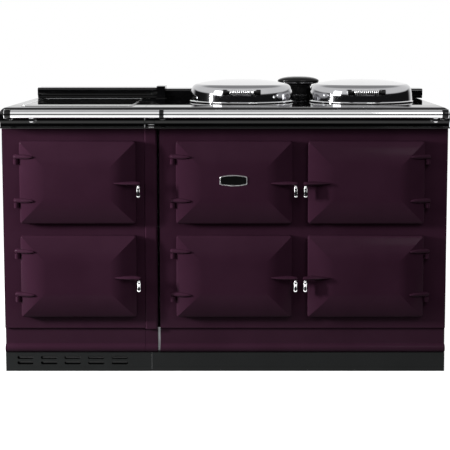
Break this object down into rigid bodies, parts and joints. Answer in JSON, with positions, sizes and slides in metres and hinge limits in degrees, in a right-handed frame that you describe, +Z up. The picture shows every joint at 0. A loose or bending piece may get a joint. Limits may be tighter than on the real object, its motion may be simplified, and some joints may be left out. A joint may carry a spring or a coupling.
{
  "type": "range cooker",
  "caption": "Freestanding enamelled cast iron range cooker: two joined modules, hinged oven doors, glass hob, round hotplates under domed lids, flue cap and towel rails.",
  "frame": {"origin": "middle of the bounding box, on the floor", "axes": "+Z up, +X to the right seen from the front, the doors face -Y"},
  "size_m": [1.478, 0.761, 0.971],
  "materials": {
    "coloured_enamel": "gloss vitreous enamel, aubergine",
    "black_enamel": "gloss vitreous enamel, black",
    "chrome": "polished chrome plate",
    "cast_iron": "machined or bare cast iron",
    "steel": "galvanised sheet",
    "door_lining": "matt aluminised lining",
    "hob_glass": "black ceramic glass",
    "knob_plastic": "satin black"
  },
  "bodies": {
    "range": {"right_front_plate": "coloured_enamel", "right_top_plate": "black_enamel", "left_plinth": "black_enamel", "flue_cap": "black_enamel", "left_front_plate": "coloured_enamel", "base_frame": "steel", "boiling_plate": "cast_iron", "simmering_plate": "cast_iron", "hob_element_tray": "steel", "hob_frame": "chrome", "middle_rail_bracket": "black_enamel", "warming_oven": "cast_iron", "slow_oven": "cast_iron", "simmering_oven": "cast_iron", "roasting_oven": "cast_iron", "baking_oven": "cast_iron", "left_rail_bracket": "black_enamel", "right_rail_bracket": "black_enamel", "warming_oven_shelf": "steel", "roasting_oven_shelf": "steel", "control_panel": "black_enamel", "left_top_plate": "black_enamel", "left_rail": "chrome", "right_rail": "chrome", "joint_pilaster": "coloured_enamel", "back_panel": "steel", "rear_upstand": "black_enamel", "hob_vent": "black_enamel", "left_side_panel": "steel", "right_side_panel": "steel", "left_skirt": "coloured_enamel", "right_skirt": "coloured_enamel", "joint_block": "black_enamel", "hob_glass": "hob_glass", "right_plinth": "black_enamel", "flue_chamber": "cast_iron"},
    "warming_oven_door": {"warming_oven_door": "coloured_enamel", "warming_oven_door_grip": "chrome", "warming_oven_door_liner": "door_lining"},
    "slow_oven_door": {"slow_oven_door": "coloured_enamel", "slow_oven_door_grip": "chrome", "slow_oven_door_liner": "door_lining"},
    "control_door": {"control_door": "coloured_enamel", "control_door_grip": "chrome"},
    "simmering_oven_door": {"simmering_oven_door": "coloured_enamel", "simmering_oven_door_grip": "chrome", "simmering_oven_door_liner": "door_lining"},
    "roasting_oven_door": {"roasting_oven_door": "coloured_enamel", "roasting_oven_door_grip": "chrome", "roasting_oven_door_liner": "door_lining"},
    "baking_oven_door": {"baking_oven_door": "coloured_enamel", "baking_oven_door_grip": "chrome", "baking_oven_door_liner": "door_lining"},
    "boiling_lid": {"boiling_lid": "chrome", "boiling_lid_handle": "black_enamel", "boiling_lid_coil": "chrome"},
    "simmering_lid": {"simmering_lid": "chrome", "simmering_lid_handle": "black_enamel", "simmering_lid_coil": "chrome"},
    "thermostat_knob": {"thermostat_knob": "knob_plastic"}
  },
  "joints": [
    {"name": "warming_oven_door_hinge", "type": "hinge", "parent": "range", "child": "warming_oven_door", "pos_m": [-0.6875, -0.2995, 0.641], "axis": [0, 0, -1], "range_deg": [0, 115]},
    {"name": "slow_oven_door_hinge", "type": "hinge", "parent": "range", "child": "slow_oven_door", "pos_m": [-0.6875, -0.2995, 0.327], "axis": [0, 0, -1], "range_deg": [0, 115]},
    {"name": "control_door_hinge", "type": "hinge", "parent": "range", "child": "control_door", "pos_m": [-0.1718, -0.2995, 0.641], "axis": [0, 0, -1], "range_deg": [0, 115]},
    {"name": "simmering_oven_door_hinge", "type": "hinge", "parent": "range", "child": "simmering_oven_door", "pos_m": [-0.1718, -0.2995, 0.327], "axis": [0, 0, -1], "range_deg": [0, 115]},
    {"name": "roasting_oven_door_hinge", "type": "hinge", "parent": "range", "child": "roasting_oven_door", "pos_m": [0.6692, -0.2995, 0.641], "axis": [0, 0, 1], "range_deg": [0, 115]},
    {"name": "baking_oven_door_hinge", "type": "hinge", "parent": "range", "child": "baking_oven_door", "pos_m": [0.6692, -0.2995, 0.327], "axis": [0, 0, 1], "range_deg": [0, 115]},
    {"name": "boiling_lid_hinge", "type": "hinge", "parent": "range", "child": "boiling_lid", "pos_m": [0.056, 0.2655, 0.915], "axis": [-1, 0, 0], "range_deg": [0, 78]},
    {"name": "simmering_lid_hinge", "type": "hinge", "parent": "range", "child": "simmering_lid", "pos_m": [0.48, 0.2655, 0.915], "axis": [-1, 0, 0], "range_deg": [0, 78]},
    {"name": "thermostat_turn", "type": "hinge", "parent": "range", "child": "thermostat_knob", "pos_m": [0.0307, -0.1932, 0.641], "axis": [0, 1, 0], "range_deg": [0, 270]}
  ]
}
